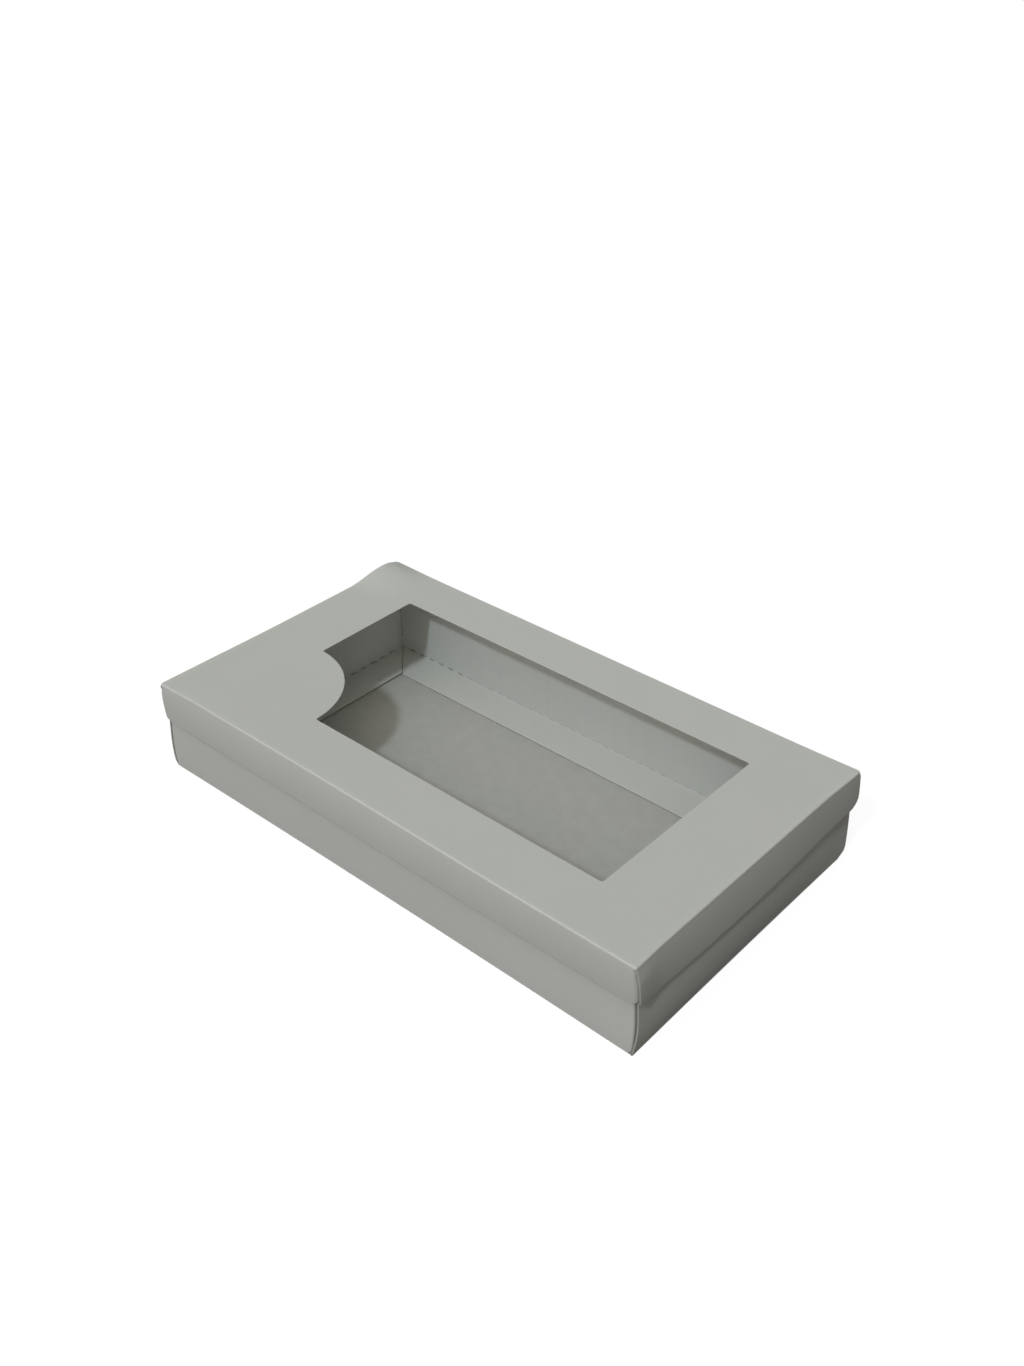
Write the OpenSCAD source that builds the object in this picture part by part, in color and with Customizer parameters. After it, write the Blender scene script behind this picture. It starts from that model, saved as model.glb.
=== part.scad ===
// Card chocolate box: a tray with hollow walls, and a lift-off lid with a window.
// Both are folded from one creased blank each; every panel between creases is a sub-part.
// Origin at the middle of the underside, +X along the long side, +Y to the back, +Z up.

/* [Card] */
// Thickness of the card
card = 0.5; // [0.3:0.05:0.7]
// Radius on the inside of a crease
crease_r = 0.3; // [0.25:0.05:0.6]

/* [Lid] */
// Length of the lid over its end skirts
lid_length = 180; // [140:1:240]
// Width of the lid over its long skirts
lid_width = 98.7; // [85:0.1:140]
// Depth of the skirts, from the top face to their raw edge
skirt_depth = 13; // [8:0.1:18]
// Radius of the raw lower corners of the end skirts
skirt_corner_r = 3.5; // [1:0.1:5]

/* [Window] */
// Card between the window and the left end
window_left = 22.9; // [15:0.1:35]
// Card between the window and the right end
window_right = 24.5; // [15:0.1:35]
// Card between the window and the front
window_front = 18.1; // [10:0.1:24]
// Card between the window and the back
window_back = 16.4; // [10:0.1:24]
// Radius of the quarter disc of card in the window's front left corner
disc_r = 26; // [12:0.5:32]
// Radius of the window's corners
window_corner_r = 0.8; // [0.4:0.1:3]

/* [Tray] */
// Height of the tray from the table to its rim
tray_height = 29.3; // [22:0.1:45]
// Thickness of the hollow wall, from its outer to its inner face
hollow_wall = 5; // [3.5:0.1:8]
// Radius of the lower corners of the end walls
foot_corner_r = 3.5; // [1:0.1:5]

/* [Floor flaps] */
// Depth of the front and back flaps, from the crease to the free edge
long_flap_depth = 12.5; // [6:0.1:18]
// Depth of the end flaps, from the crease to the free edge
end_flap_depth = 12; // [6:0.1:18]

/* [Glue tabs] */
// Length of a tab, from its crease to its tip
tab_length = 14; // [8:0.5:20]
// Height that each slanted side of a tab loses towards its tip
tab_taper = 2; // [0.5:0.1:3]

/* [Perforated creases] */
// Length of one cut
cut_length = 2.1; // [1:0.1:3]
// Card left between two cuts
cut_bridge = 2.4; // [1:0.1:4]
// Height of one cut
cut_height = 0.4; // [0.2:0.05:0.8]

/* [Fit] */
// Clearance between the lid and the tray, on each side
slip = 0.15; // [0.05:0.05:0.5]

/* [Hidden] */
// Setback of an end panel's raw side edges from the long panel's face
edge_setback = 0.4;
// Card cut away between a tab and the creases above and below it
tab_relief = 0.4;
// Card cut away between the lid's tabs and the raw edge of the skirts
tab_notch = 1.4;
// Setback of each mitred rim end and inner wall end from the corner
corner_gap = 0.15;
// Setback of each mitred flap end from the mitre line
flap_gap = 0.3;
// Setback of a flap's crease from the neighbouring inner wall
flap_relief = 0.6;
// Uncut card at each end of a perforated crease
crease_end = 2.5;
// Reach of a cut beyond the card that it passes through
overrun = 1;
// Facets of a full circle
$fn = 64;

bend_r = crease_r + card;
box_height = tray_height + card;
lid_end = lid_length / 2;
lid_side = lid_width / 2;
tray_end = lid_end - 2 * card - slip;
tray_side = lid_side - card - slip;
skirt_low = box_height - skirt_depth;
fold_line = box_height - bend_r;
rim_line = tray_height - bend_r;
flap_top = 2 * card;

// Turns a piece that was drawn for the front to another side
module on_side(side) {
    rotate([0, 0, side == "right" ? 90 : side == "back" ? 180 : side == "left" ? 270 : 0]) children();
}

// Extrudes a section along a side; the section's x is the distance outwards and its y the height
module along_side(run) {
    rotate([90, 0, -90]) linear_extrude(height = run, center = true) children();
}

// Section of a crease: a quarter ring about the given centre, where quarter 0 turns up and outwards
module crease_section(out, up, quarter) {
    translate([out, up]) rotate(quarter * 90) intersection() {
        difference() {
            circle(r = bend_r);
            circle(r = crease_r);
        }
        square(bend_r);
    }
}

// Stands a flat outline up, with its outer face at the given distance from the middle
module standing(face) {
    translate([0, card - face, 0]) rotate([90, 0, 0]) linear_extrude(height = card) children();
}

// Flat panel lying at a height, centred on the origin
module lying_panel(length, width, height) {
    translate([-length / 2, -width / 2, height]) cube([length, width, card]);
}

// Outline of a wall, centred on x, from its low edge to its high edge
module wall_outline(half_run, low, high) {
    translate([-half_run, low]) square([2 * half_run, high - low]);
}

// Outline of a panel with a raw lower edge: a wall outline whose two lower corners are round
module cut_outline(half_run, low, high, corner_r) {
    wall_outline(half_run, low + corner_r, high);
    wall_outline(half_run - corner_r, low, high);
    for (turn = [-1, 1])
        translate([turn * (half_run - corner_r), low + corner_r]) circle(r = corner_r);
}

// Rectangle with round corners, from the origin along +x and +y
module rounded_rectangle(length, width, corner_r) {
    translate([corner_r, 0]) square([length - 2 * corner_r, width]);
    translate([0, corner_r]) square([length, width - 2 * corner_r]);
    for (x = [corner_r, length - corner_r], y = [corner_r, width - corner_r])
        translate([x, y]) circle(r = corner_r);
}

// Window in the lid: a rectangle that gives way to a quarter disc in its front left corner
module window_outline() {
    translate([window_left - lid_end, window_front - lid_side]) difference() {
        rounded_rectangle(lid_length - window_left - window_right, lid_width - window_front - window_back,
            window_corner_r);
        circle(r = disc_r);
    }
}

// Long skirt: its crease to the top and its leaf, which ends where the tabs turn off
module long_skirt() {
    along_side(2 * (lid_end - bend_r)) crease_section(lid_side - bend_r, fold_line, 0);
    standing(lid_side) cut_outline(lid_end - card - bend_r, skirt_low, fold_line, tab_notch);
}

// End skirt: its crease to the top and its leaf, whose side edges are raw
module end_skirt() {
    half_run = lid_side - edge_setback;
    along_side(2 * half_run) crease_section(lid_end - bend_r, fold_line, 0);
    standing(lid_end) cut_outline(half_run, skirt_low, fold_line, skirt_corner_r);
}

// Glue tab of the front right corner: a crease round from the long panel and a tapered leaf behind
// the end panel, between two heights
module glue_tab(end_face, side_face, low, high) {
    translate([end_face - card - bend_r, bend_r - side_face, low]) linear_extrude(height = high - low)
        crease_section(0, 0, 3);
    translate([end_face - 2 * card, bend_r - side_face, 0]) rotate([90, 0, 90])
        linear_extrude(height = card)
            polygon([[0, low], [tab_length, low + tab_taper], [tab_length, high - tab_taper], [0, high]]);
}

// Glue tab of the lid at one of the four corners
module lid_tab(x_side, y_side) {
    scale([x_side, y_side, 1])
        glue_tab(lid_end, lid_side, skirt_low + tab_notch, fold_line - tab_relief);
}

// Glue tab of the tray at one of the four corners
module tray_tab(x_side, y_side) {
    scale([x_side, y_side, 1])
        glue_tab(tray_end, tray_side, bend_r + tab_relief, rim_line - tab_relief);
}

// Long outer wall of the tray: its crease to the floor and its leaf, which ends where the tabs turn off
module long_wall() {
    along_side(2 * (tray_end - bend_r)) crease_section(tray_side - bend_r, bend_r, 3);
    standing(tray_side) wall_outline(tray_end - card - bend_r, bend_r, rim_line);
}

// End wall of the tray: its crease to the floor and its leaf, whose side edges are raw
module end_wall() {
    half_run = tray_side - edge_setback;
    along_side(2 * (half_run - foot_corner_r)) crease_section(tray_end - bend_r, bend_r, 3);
    standing(tray_end) cut_outline(half_run, bend_r, rim_line, foot_corner_r);
}

// Rim strip: crease, flat and crease, cut to a mitre towards its neighbours
module rim(face, corner, half_leaf) {
    inner = face - hollow_wall;
    intersection() {
        along_side(2 * half_leaf) {
            crease_section(face - bend_r, rim_line, 0);
            translate([inner + bend_r, rim_line + crease_r]) square([hollow_wall - 2 * bend_r, card]);
            crease_section(inner + bend_r, rim_line, 1);
        }
        linear_extrude(height = box_height) mitred_strip(-face, hollow_wall, corner, half_leaf, corner_gap);
    }
}

// Plan of a strip with mitred ends: it starts at y = edge and is as deep as given. The mitre line of
// each end starts at x = corner and is set back by gap; half_edge limits the starting edge.
module mitred_strip(edge, depth, corner, half_edge, gap) {
    shoulder = corner - half_edge - gap;
    tip = corner - depth - gap;
    translate([0, edge]) polygon([
        [-half_edge, 0], [half_edge, 0], [half_edge, shoulder], [tip, depth], [-tip, depth], [-half_edge, shoulder]
    ]);
}

// Inner wall, with a row of cuts along the crease at its foot
module inner_wall(face, corner) {
    half_run = corner - hollow_wall - corner_gap;
    pitch = cut_length + cut_bridge;
    cuts = floor((2 * (half_run - crease_end) + cut_bridge) / pitch);
    first = -(cuts * pitch - cut_bridge) / 2;
    standing(face - hollow_wall + card) difference() {
        wall_outline(half_run, card, rim_line);
        for (i = [0 : cuts - 1])
            translate([first + i * pitch, flap_top]) square([cut_length, cut_height]);
    }
}

// Floor flap: a mitred strip on the floor, from the foot of its inner wall
module floor_flap(face, corner, depth) {
    crease_corner = corner - hollow_wall;
    translate([0, 0, card]) linear_extrude(height = card)
        mitred_strip(hollow_wall - face, depth, crease_corner, crease_corner - flap_relief, flap_gap);
}

module lid_top() {
    color("gainsboro") difference() {
        lying_panel(lid_length - 2 * bend_r, lid_width - 2 * bend_r, tray_height);
        translate([0, 0, tray_height - overrun]) linear_extrude(height = card + 2 * overrun) window_outline();
    }
}
module lid_front_skirt() { color("gainsboro") on_side("front") long_skirt(); }
module lid_back_skirt() { color("gainsboro") on_side("back") long_skirt(); }
module lid_left_skirt() { color("lightgray") on_side("left") end_skirt(); }
module lid_right_skirt() { color("lightgray") on_side("right") end_skirt(); }
module lid_tab_front_left() { color("silver") lid_tab(-1, 1); }
module lid_tab_front_right() { color("silver") lid_tab(1, 1); }
module lid_tab_back_left() { color("silver") lid_tab(-1, -1); }
module lid_tab_back_right() { color("silver") lid_tab(1, -1); }

module tray_floor() {
    color("silver") lying_panel(2 * (tray_end - bend_r), 2 * (tray_side - bend_r), 0);
}
module tray_front_wall() { color("gainsboro") on_side("front") long_wall(); }
module tray_back_wall() { color("gainsboro") on_side("back") long_wall(); }
module tray_left_wall() { color("lightgray") on_side("left") end_wall(); }
module tray_right_wall() { color("lightgray") on_side("right") end_wall(); }

module long_rim() { rim(tray_side, tray_end, tray_end - card - bend_r); }
module end_rim() { rim(tray_end, tray_side, tray_side - edge_setback); }
module front_rim() { color("gainsboro") on_side("front") long_rim(); }
module back_rim() { color("gainsboro") on_side("back") long_rim(); }
module left_rim() { color("gainsboro") on_side("left") end_rim(); }
module right_rim() { color("gainsboro") on_side("right") end_rim(); }

module front_inner_wall() { color("silver") on_side("front") inner_wall(tray_side, tray_end); }
module back_inner_wall() { color("silver") on_side("back") inner_wall(tray_side, tray_end); }
module left_inner_wall() { color("silver") on_side("left") inner_wall(tray_end, tray_side); }
module right_inner_wall() { color("silver") on_side("right") inner_wall(tray_end, tray_side); }

module tray_tab_front_left() { color("silver") tray_tab(-1, 1); }
module tray_tab_front_right() { color("silver") tray_tab(1, 1); }
module tray_tab_back_left() { color("silver") tray_tab(-1, -1); }
module tray_tab_back_right() { color("silver") tray_tab(1, -1); }

module front_flap() { color("whitesmoke") on_side("front") floor_flap(tray_side, tray_end, long_flap_depth); }
module back_flap() { color("whitesmoke") on_side("back") floor_flap(tray_side, tray_end, long_flap_depth); }
module left_flap() { color("whitesmoke") on_side("left") floor_flap(tray_end, tray_side, end_flap_depth); }
module right_flap() { color("whitesmoke") on_side("right") floor_flap(tray_end, tray_side, end_flap_depth); }

lid_top();
lid_front_skirt();
lid_back_skirt();
lid_left_skirt();
lid_right_skirt();
lid_tab_front_left();
lid_tab_front_right();
lid_tab_back_left();
lid_tab_back_right();
tray_floor();
tray_front_wall();
tray_back_wall();
tray_left_wall();
tray_right_wall();
front_rim();
back_rim();
left_rim();
right_rim();
front_inner_wall();
back_inner_wall();
left_inner_wall();
right_inner_wall();
tray_tab_front_left();
tray_tab_front_right();
tray_tab_back_left();
tray_tab_back_right();
front_flap();
back_flap();
left_flap();
right_flap();
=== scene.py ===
"""Card chocolate box with a window lid: every panel between two creases is one thin closed solid.

All shapes are worked out in millimetres as whole numpy grids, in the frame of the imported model, and
turned into metres when the mesh is made. The panels of one side are drawn in side coordinates:
along (counterclockwise round the box), out (away from the middle) and up.
"""

import math

import bpy
import numpy as np
from bpy.props import FloatProperty, FloatVectorProperty, PointerProperty
from mathutils import Matrix, Vector


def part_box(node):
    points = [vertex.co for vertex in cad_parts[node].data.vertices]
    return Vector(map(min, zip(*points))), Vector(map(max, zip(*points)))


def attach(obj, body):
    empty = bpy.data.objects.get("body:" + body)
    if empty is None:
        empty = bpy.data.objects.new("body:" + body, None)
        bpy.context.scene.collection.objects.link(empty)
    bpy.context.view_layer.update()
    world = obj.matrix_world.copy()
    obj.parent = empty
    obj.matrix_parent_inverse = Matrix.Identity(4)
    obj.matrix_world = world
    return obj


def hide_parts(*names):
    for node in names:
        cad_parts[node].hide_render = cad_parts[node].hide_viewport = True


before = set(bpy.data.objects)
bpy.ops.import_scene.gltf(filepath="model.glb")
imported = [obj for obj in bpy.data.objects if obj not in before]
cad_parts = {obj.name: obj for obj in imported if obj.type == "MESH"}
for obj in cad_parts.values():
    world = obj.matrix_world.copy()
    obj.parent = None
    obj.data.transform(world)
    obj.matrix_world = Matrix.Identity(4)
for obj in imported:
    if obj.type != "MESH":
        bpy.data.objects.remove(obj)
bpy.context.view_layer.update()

bl_info = {
    "name": "Window Chocolate Box",
    "version": (1, 0, 0),
    "blender": (4, 5, 0),
    "location": "View3D > Sidebar > Chocolate Box",
    "description": "Folded card chocolate box with a hollow-walled tray and a window lid",
    "category": "Add Mesh",
}

MM = 0.001
X, Y, Z = 0, 1, 2
SIDES = {"front": 0, "right": 1, "back": 2, "left": 3}
LONG_SIDES = ("front", "back")
CORNERS = (("front_left", -1, -1), ("front_right", 1, -1), ("back_left", -1, 1), ("back_right", 1, 1))

# Kinds of card piece: the material of the face, the slot and the body
LID = ("outer_board", "lid_card", "lid")
TRAY = ("outer_board", "tray_card", "tray")
# The inner walls take a darker, cooler copy of the outer card: painted shade for the inside of the tray
INNER = ("inner_board", "inner_card", "tray")


def node_low(node):
    """Lowest corner of a CAD node, in millimetres."""
    return np.array(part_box(node)[0]) / MM


def node_high(node):
    """Highest corner of a CAD node, in millimetres."""
    return np.array(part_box(node)[1]) / MM


# Driving sizes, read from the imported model
LID_END = node_high("lid_right_skirt")[X]
LID_SIDE = node_high("lid_back_skirt")[Y]
LID_TOP = node_high("lid_top")[Z]
CARD = LID_TOP - node_low("lid_top")[Z]
SOLID_BEND = LID_END - node_high("lid_top")[X]
SKIRT_LOW = node_low("lid_front_skirt")[Z]
END_SETBACK = LID_SIDE - node_high("lid_right_skirt")[Y]
TRAY_END = node_high("tray_right_wall")[X]
TRAY_SIDE = node_high("tray_back_wall")[Y]
TRAY_TOP = node_high("back_rim")[Z]
WALL = TRAY_SIDE - node_low("back_inner_wall")[Y]
FLAP_END = node_high("right_flap")[X] - node_low("right_flap")[X]
FLAP_SIDE = node_high("back_flap")[Y] - node_low("back_flap")[Y]
FLAP_HALF_SIDE = node_high("back_flap")[X]
FLAP_HALF_END = node_high("right_flap")[Y]
FLOOR_END = node_high("tray_floor")[X]
FLOOR_SIDE = node_high("tray_floor")[Y]
TAB_LENGTH = node_high("tray_tab_back_right")[Y] - node_low("tray_tab_back_right")[Y] - SOLID_BEND

# Folds: the photographed card is creased a little sharper than the solids, and the near corner's bend
# opens less than the lid's others
BEND = 0.7 * SOLID_BEND
TRAY_BEND = 0.9 * BEND
NEAR_OPENING = 0.7
FOLD_LINE = LID_TOP - BEND
RIM_LINE = TRAY_TOP - BEND
FLAP_TOP = 2 * CARD

# Window, whose outline the box of the lid's top doesn't give
WINDOW_LEFT = -67.1
WINDOW_RIGHT = 65.5
WINDOW_FRONT = -31.25
WINDOW_BACK = 32.95
DISC_R = 26.0
WINDOW_CORNER_R = 0.8

# Raw side edges of the end panels, each at its start and its end: setback, radius of the lower corner
# and, on the lid, how far the edge stands away from the tab at the bottom
END_SKIRT_EDGES = {
    "right": ((0.25, 0.3), (1.0, 3.5), (0.45, 0.0)),
    "left": ((1.1, 1.2), (3.5, 2.5), (0.0, 0.0)),
}
END_WALL_EDGES = {
    "right": ((0.8, 0.2), (0.1, 3.0)),
    "left": ((0.4, 0.0), (3.0, 0.3)),
}

# Reaches of the flare and of the setbacks, and how much further a long wall's foot crease goes
FLARE_REACH = 9.0
SKIRT_SETBACK_REACH = 3.0
WALL_SETBACK_REACH = 8.0
FOOT_EXTENSION = 0.25

# Raw edge of the long skirts: notches at their ends, and climbs of the front one
NOTCH_R = 3.0
NOTCH_START = 4.0
NEAR_NOTCH_START = 2.7
RIGHT_CLIMB = 0.5
LEFT_CLIMB = 0.5
LEFT_CLIMB_STRETCH = (16.0, 3.0)

# Glue tabs, and their gaps to the end panels at the bend and, in the tray, along the leaf
TAB_TAPER = 2.0
TAB_RELIEF = 0.4
TAB_GAP = 0.2
SPRUNG_TAB_GAP = 0.7
TAB_GAP_REACH = 3.0

# Mitres of the rims and of the flaps
MITRE_GAP = 0.03
FLAP_GAP = 0.15

# Perforated creases; the cuts of the back one are pressed to a share of their height, except at its left
# end, and open over a stretch before it
CUT_LENGTH = 2.1
CUT_BRIDGE = 2.4
CUT_HEIGHT = 0.4
CREASE_END = 2.5
PRESSED_CUT = 0.25
PRESSED_STRETCH = (50, 58)

# Steps of the grids
PITCH = 2.0
SKIRT_PITCH = 0.8
WALL_PITCH = 1.2
TAB_PITCH = 1.5
FLAP_PITCH = 1.0
TAB_ROW_SHARE = 0.1
RIM_STEPS = 6
EDGE_R = 0.1
EDGE_STEPS = (0.0, 0.03, 0.1, 0.3, 0.55, 0.8, 1.2)
ARC_STEPS = 12
TOP_RINGS = 14

# Reaches of the wear at a cut and at a crease, angle of a sharp edge, and the distance that stands for no cut
WEAR_REACH = 0.5
CREASE_REACH = 0.6
SHARP_ANGLE = 40
UNCUT = 1e3

# Irregularities of each side, in side coordinates: at its start, its middle and its end, how
# far a lid skirt stands out in its belly and at its raw edge and how far that edge is cut short, how far
# an outer tray wall stands out in its belly and at its foot, between which heights the foot's share fades,
# and how far a flap's free edge lifts
LID_BELLIES = {
    "front": (0.30, 0.35, 0.30),
    "right": (0.55, 0.30, 0.20),
    "back": (0.25, 0.30, 0.25),
    "left": (0.70, 0.40, 0.35),
}
LID_LEANS = {
    "front": (0.45, 0.45, -0.30),
    "right": (0.80, 1.40, 0.15),
    "back": (0.20, 0.20, 0.20),
    "left": (0.60, 0.40, 0.65),
}
LID_CUTS = {
    "right": (0.5, 0.0, 1.35),
    "left": (0.0, 0.0, 0.0),
}
TRAY_BELLIES = {
    "front": (0.05, 0.0, 0.0),
    "right": (1.05, 1.82, 0.38),
    "back": (0.1, 0.1, 0.1),
    "left": (0.4, 0.35, 1.2),
}
TRAY_FEET = {
    "front": (0.75, 0.28, 0.65),
    "right": (1.30, 0.62, 0.35),
    "back": (0.2, 0.2, 0.2),
    "left": (0.4, 0.5, 0.6),
}
FOOT_FADE = (2, 20)
FLAP_LIFTS = {
    "front": (0.1, 0.25, 0.1),
    "right": (0.1, 0.2, 0.1),
    "back": (0.0, 0.06, 0.0),
    "left": (0.0, 0.0, -0.1),
}

# Settling of the lid: reach of the skirts' shift into the top, rounding of the corners, pulls at the
# corners and along the sides, the sprung corner and the bulge
LID_REACH = 4.0
CORNER_R = 1.0
NEAR_CORNER_R = 0.3
CORNER_FADE = 1.5
NEAR_PULL = 0.3
FAR_PULL = 0.5
FRONT_PULL = 0.15
BACK_PULL = 0.1
BACK_RIGHT_PULL = 0.2
LEFT_TURN = 0.85
SPRUNG_START = 27.0
SPRUNG_PEAK = 41.5
SPRUNG_FLAT = 2.0
SPRUNG_REACH = 20.0
BULGE_REACH = 12.0

# Shader groups: their inputs, and the sockets that aren't plain numbers
TONE_INPUTS = {
    "Vector": None, "Colour": None, "Cloud Strength": 0.03, "Cloud Scale": 90.0, "Fleck Strength": 0.05,
    "Streak Strength": 0.0,
}
TOOTH_INPUTS = {"Vector": None, "Fibre Share": 0.6}
WEAR_INPUTS = {"Vector": None, "Crease": 0.0, "Cut": 0.0, "Crease Strength": 0.5, "Cut Strength": 0.3}
NAMED_SOCKETS = {"Vector": "NodeSocketVector", "Colour": "NodeSocketColor"}

# Textures of the card: scale per metre, detail and stretch along the axes
TEXTURES = {
    "flecks": (1400.0, 3.0),
    "streaks": (420.0, 2.0, (1.0, 1.0, 0.04)),
    "drift": (55.0, 2.0),
    "fibres": (2600.0, 2.0, (0.25, 1.0, 1.0)),
    "cross fibres": (2600.0, 2.0, (1.0, 0.25, 0.5)),
    "tooth": (5200.0, 1.0),
    "rubs": (700.0, 3.0),
}
CLOUD_DETAIL = 4.0
COOL_TINT = (0.985, 1.0, 1.0, 1.0)
WARM_TINT = (1.0, 0.995, 0.975, 1.0)
BLACK = (0.0, 0.0, 0.0, 1.0)
WHITE = (1.0, 1.0, 1.0, 1.0)

# Looks of the card: strength and scale of its clouds, strengths of its flecks and streaks, and wear of its
# creases and cut edges, which the raw edge doesn't have
TONE_NAMES = ("Cloud_Strength", "Cloud_Scale", "Fleck_Strength", "Streak_Strength")
CARD_TONES = {
    "outer_board": (0.035, 60.0, 0.05, 0.0),
    "inner_board": (0.05, 110.0, 0.06, 0.06),
    "reverse_board": (0.16, 260.0, 0.09, 0.0),
    "cut_edge": (0.1, 400.0, 0.35, 0.0),
}
CARD_WEAR = {
    "outer_board": (0.55, 0.25),
    "inner_board": (0.15, 0.2),
    "reverse_board": (0.1, 0.1),
}

# Factor and offset of the rubs' noise and of the card's roughness, lightening of rubbed card, and fibre
# share, bump strength and bump distance in metres of the tooth
RUB_CONTRAST = (1.6, -0.3)
RUBBED = 1.12
SPECULAR = 0.25
CARD_ROUGHNESS = (-0.35, 1.2)
CARD_TOOTH = (0.6, 0.25, 0.00004)
CUT_ROUGHNESS = 0.95
CUT_TOOTH = (1.0, 0.5, 0.00006)

# Camera, worked out from the box's outline in the photograph
IMAGE_SIZE = (1024, 1366)
FOCAL_PIXELS = 1451.7
SENSOR = 36.0
CAMERA_PLACE = (0.23311, -0.24484, 0.27186)
CAMERA_RIGHT = (0.74307, 0.66900, -0.01684)
CAMERA_UP = (-0.36326, 0.42436, 0.82943)
CAMERA_AHEAD = (-0.56204, 0.61021, -0.55835)
CLIP_RANGE = (0.01, 50.0)

# Studio light: a soft-edged key from the front, and a sky that is brightest overhead
KEY_TRAVEL = (-0.2, 0.9, -1.0)
KEY_STRENGTH = 0.784
KEY_COLOUR = (0.837, 0.924, 1.0)
KEY_ANGLE = 4.5
SKY = {
    "zenith": (0.739, 0.736, 0.704),
    "front": (0.780, 0.719, 0.712),
}
FLOOR_HALF = 3.0
FLOOR_DROP = 0.05
FLOOR_GLOW = 0.90
FLOOR_KEPT_SHADE = (0.22, 0.22, 0.22, 1.0)

STEPS = (
    "stage", "lid_top", "lid_skirts", "lid_tabs", "tray_floor", "tray_walls", "tray_rims", "inner_walls",
    "tray_tabs", "floor_flaps",
)


def size_property(name, description, default, highest):
    """Size in millimetres for the panel."""
    return FloatProperty(name=name, description=description, default=default, min=0.0, max=highest)


def colour_property(name, description, default):
    """Colour for the panel."""
    return FloatVectorProperty(name=name, description=description, default=default, subtype="COLOR", size=3,
                               min=0.0, max=1.0)


class ChocolateBoxSizes(bpy.types.PropertyGroup):
    """Sizes of the soft forms that the folded card takes, in millimetres"""

    corner_bend: size_property(
        "Corner Bend", "Radius that the lid's corner bends gain towards the raw edge", 1.2, 3.0)
    front_bow: size_property("Front Bow", "Rise of the front fold in the left half", 0.22, 1.5)
    right_rise: size_property("Right Rise", "Rise of the right fold towards the back", 0.15, 1.5)
    corner_bulge: size_property("Corner Bulge", "Bulge of the lid's front left corner", 0.3, 2.0)
    sprung_corner: size_property("Sprung Corner", "Rise of the lid's back left corner", 1.85, 3.0)
    front_lean: size_property(
        "Front Lean", "Inward lean of the tray's front wall in the right half", 0.25, 0.6)
    flap_lift: size_property("Flap Lift", "Height of the left flap's free edge over the floor", 0.45, 2.0)


class ChocolateBoxColours(bpy.types.PropertyGroup):
    """Colours of the card and of the studio"""

    outer_board: colour_property("Outer Card", "Outer face of the card", (0.709, 0.72, 0.673))
    # Same face as the outer card, coloured darker and cooler as painted shade for the inside of the tray
    inner_board: colour_property(
        "Inner Card", "Outer face of the card where it is folded into the tray", (0.667, 0.68, 0.645))
    reverse_board: colour_property("Reverse Card", "Uncoated reverse face of the card", (0.55, 0.552, 0.51))
    cut_edge: colour_property("Cut Edge", "Raw edge of the card", (0.42, 0.41, 0.36))
    table: colour_property("Table", "Light that the table throws back at the box", (0.042, 0.04, 0.036))


def ramp(value, start, end):
    """Smooth step: 0 up to start, 1 from end on, and 3t² - 2t³ between them."""
    t = np.clip((value - start) / (end - start), 0, 1)
    return t * t * (3 - 2 * t)


def through_three(share, first, middle, last):
    """Parabola through the values at the shares -1, 0 and 1."""
    return middle + (last - first) / 2 * share + ((first + last) / 2 - middle) * share ** 2


def stations(half):
    """Places from -1 to 1 along a side: even steps of about the pitch, and closer ones beside both ends."""
    close = 1 - np.array(EDGE_STEPS) / half
    even = np.linspace(-1, 1, 2 * round(half / PITCH) + 1)
    even = even[np.abs(even) < close.min() - 0.5 * PITCH / half]
    return np.sort(np.concatenate([-close, even, close]))


def rows_between(start, end, pitch, cut_end=False):
    """Places from start to end: even steps of about the pitch, and closer ones beside a cut end."""
    length = abs(end - start)
    last = np.array(EDGE_STEPS[:4] if cut_end else EDGE_STEPS[:1])
    count = max(2, round(length / pitch) + 1)
    even = np.linspace(0, length - last[-1], count)[1:-1]
    way = np.concatenate([[0], even, (length - last)[::-1]])
    return start + way * np.sign(end - start)


def arc(centre_out, centre_up, radius, start, end):
    """Points of a circle's arc in the section, from the start to the end angle; 0 points outwards, 90 up."""
    angle = np.radians(np.linspace(start, end, ARC_STEPS + 1))
    return centre_out + radius * np.cos(angle), centre_up + radius * np.sin(angle)


def corner_run(run, height, radius):
    """Half length of a row at a height over the raw edge: the corner's quarter circle takes its share."""
    inside = np.clip(radius - height, 0, radius)
    return run - radius + np.sqrt(radius ** 2 - inside ** 2)


def turn(side, along, out, up):
    """Row frame points of side coordinates: (along, -out, up), turned a quarter for each side."""
    along, out, up = np.broadcast_arrays(along, out, up)
    quarter = SIDES[side] * math.pi / 2
    cos, sin = round(math.cos(quarter)), round(math.sin(quarter))
    return np.stack([along * cos + out * sin, along * sin - out * cos, up], -1).astype(float)


def cut_drop(distance):
    """How far each face gives way beside a cut: a quarter circle of the edge radius."""
    t = np.clip(1 - distance / EDGE_R, 0, 1)
    return EDGE_R * (1 - np.sqrt(1 - t * t))


def facing_normals(grid, facing, ring):
    """Unit normals of a grid: the cross product of its two differences, turned to the facing direction."""
    if ring:
        round_grid = np.concatenate([grid[:, -1:], grid, grid[:, :1]], 1)
        along = round_grid[:, 2:] - round_grid[:, :-2]
    else:
        along = np.gradient(grid, axis=1)
    normals = np.cross(along, np.gradient(grid, axis=0))
    normals /= np.maximum(np.linalg.norm(normals, axis=2, keepdims=True), 1e-12)
    return normals if (normals * facing).sum() > 0 else -normals


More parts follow.
